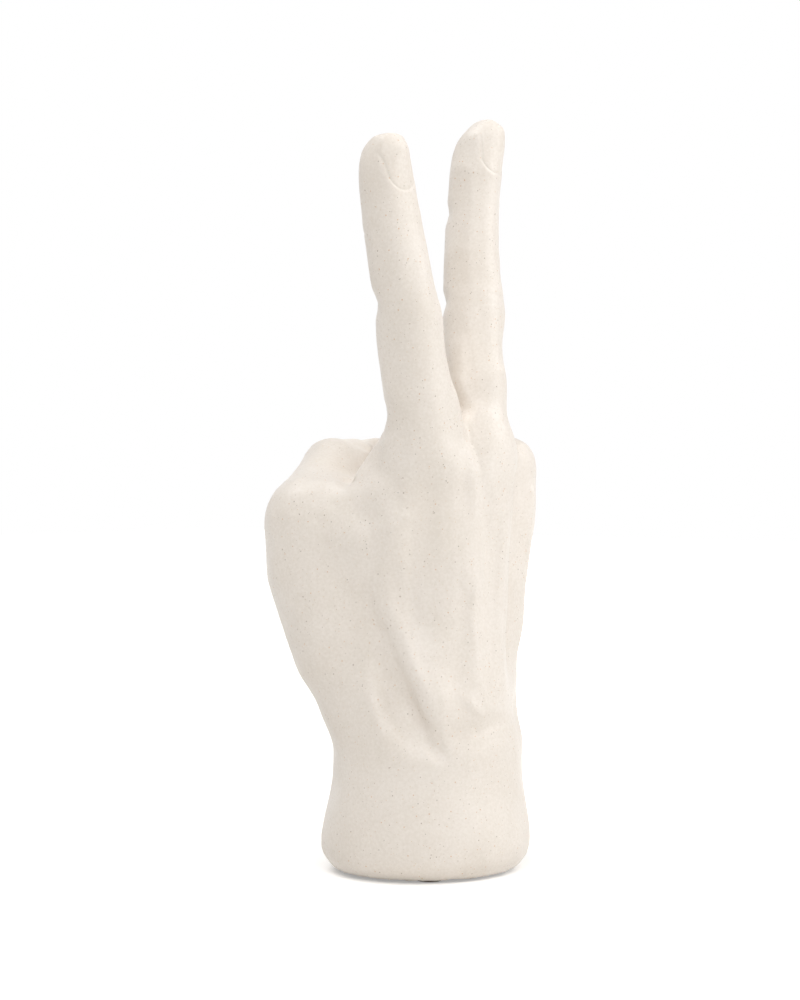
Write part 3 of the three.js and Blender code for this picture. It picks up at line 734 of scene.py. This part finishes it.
def sculptHand(mesh):
    clay = Clay(mesh)
    for push in pushes:
        clay.pull(push["at"], push["reach"], push["by"])
    rollFoot(clay)
    for name in drawing:
        drawOut(clay, name)
        clay.soften(limbs[name]["joints"][-1], tipRounding["reach"], tipRounding["turns"])
    clay.settle()
    for mark in planes:
        clay.stroke(mark["path"], mark["width"], mark["height"], way=planeWay)
    clay.settle()
    for mark in notches:
        clay.stroke(wrinklePath(mark), mark["width"], -mark["depth"])
    for mark in relief:
        clay.stroke(mark["path"], mark["width"], mark["height"])
    clay.settle()
    pressFolds(clay)
    print("broad forms pressed")
    fineLines = [(wrinklePath(mark), mark) for mark in wrinkles]
    fineLines += [(mark["path"], mark) for mark in palmLines]
    close = np.zeros(len(clay.points), bool)
    for path, mark in fineLines:
        if mark["width"] < refining["fineWidth"]:
            reach = mark["width"] + refining["margin"]
            chosen, gap = clay.near(clay.line(path)[0], reach)[:2]
            close[chosen[gap < reach]] = True
    for name in refining["fine"]:
        close |= nailReach(clay, name, refining["nailFine"])
    refined(mesh, close)
    clay = Clay(mesh)
    close = np.zeros(len(clay.points), bool)
    for name in refining["finest"]:
        close |= nailReach(clay, name, refining["nailFinest"])
    refined(mesh, close)
    clay = Clay(mesh)
    for path, mark in fineLines:
        clay.stroke(path, mark["width"], -mark["depth"], sharp=True)
    clay.settle()
    for name in nails:
        pressNail(clay, name)
    clay.settle()
    print("nails and lines pressed:", len(mesh.polygons), "faces")


hand = roundedCasting(stonewareFinish())
smoothHand(hand.data)
sculptHand(hand.data)
for polygon in hand.data.polygons:
    polygon.use_smooth = True
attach(hand, "root")
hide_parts("hand_casting")
print("hand skin made")


# Felt, pressed wool cut into discs: grey brown, matt and a little fuzzy, glued under the foot ring
felt = {
    "pads": 4,
    "colour": "#8d867b",
    "fibre": "#a59d90",
    "fibreSize": 0.35,      # mm
    "fibreDetail": 4.0,
    "tangle": 1.5,
    "nap": 0.8,
    "napHeight": 0.2,       # mm
    "roughness": 0.95,
    "sheen": 0.3,
    "sides": 40,
    "rounding": 0.25,       # mm, on the rims
    "roundSteps": 3,
    "levelWithin": 0.001,   # mm, by which the ends of a rim's edge may differ
    "fill": 1.0,
}


def feltFinish():
    material, tree, surface = newMaterial("pressedFelt")
    where = addNode(tree, "ShaderNodeTexCoord").outputs["Object"]
    fibre = addNode(tree, "ShaderNodeTexNoise", {"Vector": where, "Scale": 1 / (felt["fibreSize"] * mm),
                                                 "Detail": felt["fibreDetail"], "Distortion": felt["tangle"]})
    tone = addNode(tree, "ShaderNodeMix", {"Factor": fibre.outputs["Fac"], mixFrom: linear(felt["colour"]),
                                           mixTo: linear(felt["fibre"])}, data_type="RGBA")
    nap = addNode(tree, "ShaderNodeBump", {"Height": fibre.outputs["Fac"], "Strength": felt["nap"],
                                           "Distance": felt["napHeight"] * mm})
    tree.links.new(tone.outputs[mixed], surface.inputs["Base Color"])
    tree.links.new(nap.outputs["Normal"], surface.inputs["Normal"])
    surface.inputs["Roughness"].default_value = felt["roughness"]
    surface.inputs["Sheen Weight"].default_value = felt["sheen"]
    return material


def makeFeltPads(material):
    for number in range(1, felt["pads"] + 1):
        node = f"felt_pad_{number}"
        low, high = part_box(node)
        middle = ((low.x + high.x) / 2, (low.y + high.y) / 2, low.z)
        bm = bmesh.new()
        disc = bmesh.ops.create_circle(bm, cap_ends=True, segments=felt["sides"], radius=(high.x - low.x) / 2)
        bmesh.ops.translate(bm, verts=disc["verts"], vec=middle)
        raised = bmesh.ops.extrude_face_region(bm, geom=bm.faces[:])
        verts = [item for item in raised["geom"] if isinstance(item, bmesh.types.BMVert)]
        bmesh.ops.translate(bm, verts=verts, vec=(0, 0, high.z - low.z))
        bmesh.ops.recalc_face_normals(bm, faces=bm.faces)
        within = felt["levelWithin"] * mm
        rims = [edge for edge in bm.edges if abs(edge.verts[0].co.z - edge.verts[1].co.z) < within]
        bmesh.ops.bevel(bm, geom=rims, offset=felt["rounding"] * mm, affect="EDGES",
                        segments=felt["roundSteps"], profile=0.5, material=-1)
        pad = newPiece(f"feltPad{number}", bm, material)
        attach(pad, "root")
        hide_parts(node)


# Rubber, moulded and dusted: pale grey, matt, with a faint bloom
rubber = {
    "colour": "#d8d4cb",
    "bloom": "#c9c5bc",
    "bloomSize": 2.5,       # mm
    "bloomDetail": 4.0,
    "roughness": 0.75,
}


def rubberFinish():
    material, tree, surface = newMaterial("mouldedRubber")
    where = addNode(tree, "ShaderNodeTexCoord").outputs["Object"]
    bloom = addNode(tree, "ShaderNodeTexNoise", {"Vector": where, "Scale": 1 / (rubber["bloomSize"] * mm),
                                                 "Detail": rubber["bloomDetail"]})
    tone = addNode(tree, "ShaderNodeMix", {"Factor": bloom.outputs["Fac"], mixFrom: linear(rubber["colour"]),
                                           mixTo: linear(rubber["bloom"])}, data_type="RGBA")
    tree.links.new(tone.outputs[mixed], surface.inputs["Base Color"])
    surface.inputs["Roughness"].default_value = rubber["roughness"]
    return material


makeFeltPads(feltFinish())
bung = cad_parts["vent_bung"]
bung.data.materials.clear()
bung.data.materials.append(rubberFinish())
print("felt pads and bung made")


# Camera: a long lens a little above the middle of the hand, on the thumb side of its back
view = {
    "turn": 40,             # degrees from the thumb side round to the back of the hand
    "distance": 750,        # mm
    "pixel": 0.3196,        # mm on the hand's axis for one pixel of a picture 1000 pixels high
    "axisColumn": 426,      # pixel column of the wrist's axis
    "groundRow": 862,       # pixel row of a point on that axis a millimetre above the ground face
    "groundPoint": 1.0,     # mm
    "rise": 10,             # mm that the camera stands above the middle of the picture
    "frame": (800, 1000),   # pixels
    "sensor": 36,           # mm
    "clip": 10,             # mm
}


def makeCamera():
    turn = math.radians(view["turn"])
    toCamera = Vector((math.cos(turn), math.sin(turn), 0))
    toRight = Vector((-math.sin(turn), math.cos(turn), 0))
    width, height = view["frame"]
    across = (width / 2 - view["axisColumn"]) * view["pixel"]
    up = (view["groundRow"] - height / 2) * view["pixel"] + view["groundPoint"]
    centre = axisFoot + (toRight * across + Vector((0, 0, up))) * mm
    camera = bpy.data.objects.new("camera", bpy.data.cameras.new("camera"))
    scene.collection.objects.link(camera)
    camera.location = centre + (toCamera * view["distance"] + Vector((0, 0, view["rise"]))) * mm
    camera.rotation_mode = "QUATERNION"
    camera.rotation_quaternion = (centre - camera.location).to_track_quat("-Z", "Y")
    camera.data.sensor_width = view["sensor"]
    camera.data.lens = view["sensor"] * view["distance"] / (height * view["pixel"])
    camera.data.clip_start = view["clip"] * mm
    scene.camera = camera
    return toCamera, toRight


# Soft boxes: how far round from the camera to its right and how high, in degrees
studio = {
    "world": 0.28,            # of white, from all round
    "lamps": [
        {"name": "frontLamp", "round": 0, "high": 40, "watts": 5.9},
        {"name": "rightLamp", "round": 90, "high": 40, "watts": 6.9},
        {"name": "lowLamp", "round": 80, "high": 8, "watts": 2.9},
        {"name": "topLamp", "round": 270, "high": 70, "watts": 8.2},
    ],
    "lampAway": 1.3,          # metres
    "lampSize": 0.9,          # metres
    "aim": 120,               # mm above the foot
    "floor": "#f9f8f6",
    "floorSize": 6.0,         # metres
    "floorGlow": 0.3,         # of white, beside the object
    "floorFade": (0.2, 0.9),  # metres from the object over which the floor turns to plain white
}


def seenRay(tree):
    path = addNode(tree, "ShaderNodeLightPath")
    either = addNode(tree, "ShaderNodeMath", {0: path.outputs["Is Camera Ray"],
                                              1: path.outputs["Is Glossy Ray"]}, operation="MAXIMUM")
    seen = addNode(tree, "ShaderNodeMath", {0: either.outputs[0], 1: path.outputs["Is Transmission Ray"]},
                   operation="MAXIMUM")
    return seen.outputs[0]


def makeStudio(toCamera, toRight):
    aim = axisFoot + Vector((0, 0, studio["aim"])) * mm
    for lamp in studio["lamps"]:
        light = bpy.data.lights.new(lamp["name"], "AREA")
        light.size = studio["lampSize"]
        light.energy = lamp["watts"]
        holder = bpy.data.objects.new(lamp["name"], light)
        scene.collection.objects.link(holder)
        turn, high = math.radians(lamp["round"]), math.radians(lamp["high"])
        level = toCamera * math.cos(turn) + toRight * math.sin(turn)
        towards = level * math.cos(high) + Vector((0, 0, math.sin(high)))
        holder.location = aim + towards * studio["lampAway"]
        holder.rotation_mode = "QUATERNION"
        holder.rotation_quaternion = (-towards).to_track_quat("-Z", "Y")
    world = bpy.data.worlds.new("studioWorld")
    world.use_nodes = True
    scene.world = world
    tree = world.node_tree
    strength = addNode(tree, "ShaderNodeMapRange", {"Value": seenRay(tree), "To Min": studio["world"],
                                                    "To Max": 1.0})
    tree.nodes["Background"].inputs["Color"].default_value = (1, 1, 1, 1)
    tree.links.new(strength.outputs["Result"], tree.nodes["Background"].inputs["Strength"])

    material, tree, surface = newMaterial("paperSweep")
    where = addNode(tree, "ShaderNodeTexCoord").outputs["Object"]
    away = addNode(tree, "ShaderNodeVectorMath", {0: where}, operation="LENGTH")
    near, far = studio["floorFade"]
    fade = addNode(tree, "ShaderNodeMapRange", {"Value": away.outputs["Value"], "From Min": near,
                                                "From Max": far, "To Min": studio["floorGlow"],
                                                "To Max": 1.0})
    glow = addNode(tree, "ShaderNodeMath", {0: seenRay(tree), 1: fade.outputs["Result"]},
                   operation="MULTIPLY")
    surface.inputs["Base Color"].default_value = linear(studio["floor"])
    surface.inputs["Roughness"].default_value = 1.0
    surface.inputs["Specular IOR Level"].default_value = 0.0
    surface.inputs["Emission Color"].default_value = (1, 1, 1, 1)
    tree.links.new(glow.outputs[0], surface.inputs["Emission Strength"])
    bm = bmesh.new()
    bmesh.ops.create_grid(bm, x_segments=1, y_segments=1, size=studio["floorSize"] / 2)
    floor = newPiece("paperFloor", bm, material)


toCamera, toRight = makeCamera()
makeStudio(toCamera, toRight)
scene.view_settings.view_transform = "Standard"
print("camera, light and floor made")
